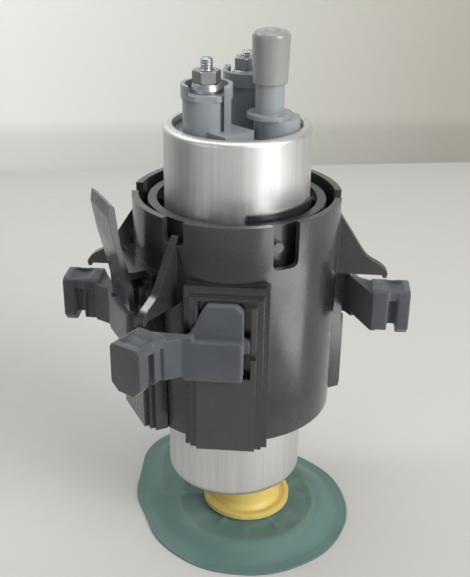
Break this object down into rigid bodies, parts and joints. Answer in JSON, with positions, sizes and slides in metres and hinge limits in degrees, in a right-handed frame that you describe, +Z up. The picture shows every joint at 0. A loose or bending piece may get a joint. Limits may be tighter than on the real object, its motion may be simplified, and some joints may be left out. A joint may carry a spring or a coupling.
{
  "type": "fuel pump",
  "caption": "Electric in-tank fuel pump: aluminium can with motor and vaned impeller, capped outlet nipple, terminal studs, flat strainer, and a black holder on rubber mounts.",
  "frame": {"origin": "on the can's axis at the strainer's underside", "axes": "+Z up along the can's axis to the outlet nipple, +X to the viewer's right, the viewer on the -Y side"},
  "size_m": [0.107, 0.0954, 0.1637],
  "materials": {
    "can_aluminium": "drawn, fine lengthwise streaks",
    "grey_plastic": "moulded, satin",
    "cap_plastic": "soft, slightly translucent",
    "zinc_steel": "zinc plated, bright",
    "black_plastic": "moulded, satin gloss",
    "sleeve_plastic": "moulded, matt",
    "mount_rubber": "matt, blue-grey bloom",
    "mesh_fabric": "fine woven mesh",
    "green_plastic": "moulded",
    "yellow_plastic": "moulded, slightly translucent",
    "spring_steel": "bright wire",
    "cast_aluminium": "die cast",
    "vane_plastic": "filled phenolic",
    "bronze": "sintered",
    "shaft_steel": "ground",
    "core_steel": "laminated",
    "copper": "enamelled wire",
    "carbon": "pressed carbon",
    "ferrite": "sintered ferrite",
    "ring_steel": "rolled"
  },
  "bodies": {
    "pump": {"pump_can": "can_aluminium", "inlet_cover": "cast_aluminium", "chamber_ring": "cast_aluminium", "pump_housing": "cast_aluminium", "lower_bush": "bronze", "upper_bush": "bronze", "thrust_pad": "shaft_steel", "flux_ring": "ring_steel", "magnet_north": "ferrite", "magnet_south": "ferrite", "magnet_clips": "spring_steel", "brush_plate": "grey_plastic", "suppression_chokes": "copper", "end_cap": "grey_plastic", "end_cap_seal": "mount_rubber", "terminal_stud_left": "zinc_steel", "terminal_stud_rear": "zinc_steel", "check_valve_seat": "bronze", "relief_valve_seat": "bronze", "tank_holder": "black_plastic", "pump_sleeve": "sleeve_plastic", "strainer_sock": "mesh_fabric", "strainer_frame": "green_plastic", "strainer_neck": "yellow_plastic", "retaining_ring": "spring_steel", "rubber_mount_left": "mount_rubber", "rubber_mount_front": "mount_rubber", "rubber_mount_right": "mount_rubber", "rubber_mount_rear": "mount_rubber"},
    "rotor": {"rotor_shaft": "shaft_steel", "armature_core": "core_steel", "armature_winding": "copper", "commutator_hub": "vane_plastic", "commutator_segments": "carbon", "impeller": "vane_plastic"},
    "brush_right_body": {"brush_right": "carbon", "brush_spring_right": "spring_steel"},
    "brush_left_body": {"brush_left": "carbon", "brush_spring_left": "spring_steel"},
    "washer_left": {"terminal_washer_left": "zinc_steel"},
    "nut_left": {"terminal_nut_left": "zinc_steel"},
    "washer_rear": {"terminal_washer_rear": "zinc_steel"},
    "nut_rear": {"terminal_nut_rear": "zinc_steel"},
    "cap": {"nipple_cap": "cap_plastic"},
    "check_valve": {"check_valve_plunger": "vane_plastic", "check_valve_spring": "spring_steel"},
    "relief_valve": {"relief_valve_ball": "shaft_steel", "relief_valve_spring": "spring_steel"}
  },
  "joints": [
    {"name": "rotor_spin", "type": "hinge", "parent": "pump", "child": "rotor", "pos_m": [0, 0, 0.07], "axis": [0, 0, 1], "continuous": true},
    {"name": "brush_right_slide", "type": "slide", "parent": "pump", "child": "brush_right_body", "axis": [0, 0, 1], "range_m": [0, 0.0015], "stiffness_N_per_m": 250, "springref_m": -0.005, "deforming": ["brush_spring_right"]},
    {"name": "brush_left_slide", "type": "slide", "parent": "pump", "child": "brush_left_body", "axis": [0, 0, 1], "range_m": [0, 0.0015], "stiffness_N_per_m": 250, "springref_m": -0.005, "deforming": ["brush_spring_left"]},
    {"name": "washer_left_rise", "type": "slide", "parent": "pump", "child": "washer_left", "axis": [0, 0, 1], "range_m": [0, 0.0021]},
    {"name": "nut_left_turn", "type": "hinge", "parent": "washer_left", "child": "nut_left", "pos_m": [-0.0087, -0.006, 0.151], "axis": [0, 0, 1], "range_deg": [0, 1085]},
    {"name": "washer_rear_rise", "type": "slide", "parent": "pump", "child": "washer_rear", "axis": [0, 0, 1], "range_m": [0, 0.0021]},
    {"name": "nut_rear_turn", "type": "hinge", "parent": "washer_rear", "child": "nut_rear", "pos_m": [0.0027, 0.0076, 0.1519], "axis": [0, 0, 1], "range_deg": [0, 1085]},
    {"name": "cap_pull", "type": "slide", "parent": "pump", "child": "cap", "axis": [0, 0, 1], "range_m": [0, 0.018]},
    {"name": "check_valve_lift", "type": "slide", "parent": "pump", "child": "check_valve", "axis": [0, 0, 1], "range_m": [0, 0.0018], "stiffness_N_per_m": 150, "springref_m": -0.003, "deforming": ["check_valve_spring"]},
    {"name": "relief_valve_lift", "type": "slide", "parent": "pump", "child": "relief_valve", "axis": [0, 0, 1], "range_m": [0, 0.0012], "stiffness_N_per_m": 600, "springref_m": -0.002, "deforming": ["relief_valve_spring"]}
  ],
  "couplings": [
    {"joint": "nut_left_turn", "follows": "washer_left_rise", "rad_per_m": 8976},
    {"joint": "nut_rear_turn", "follows": "washer_rear_rise", "rad_per_m": 8976}
  ]
}
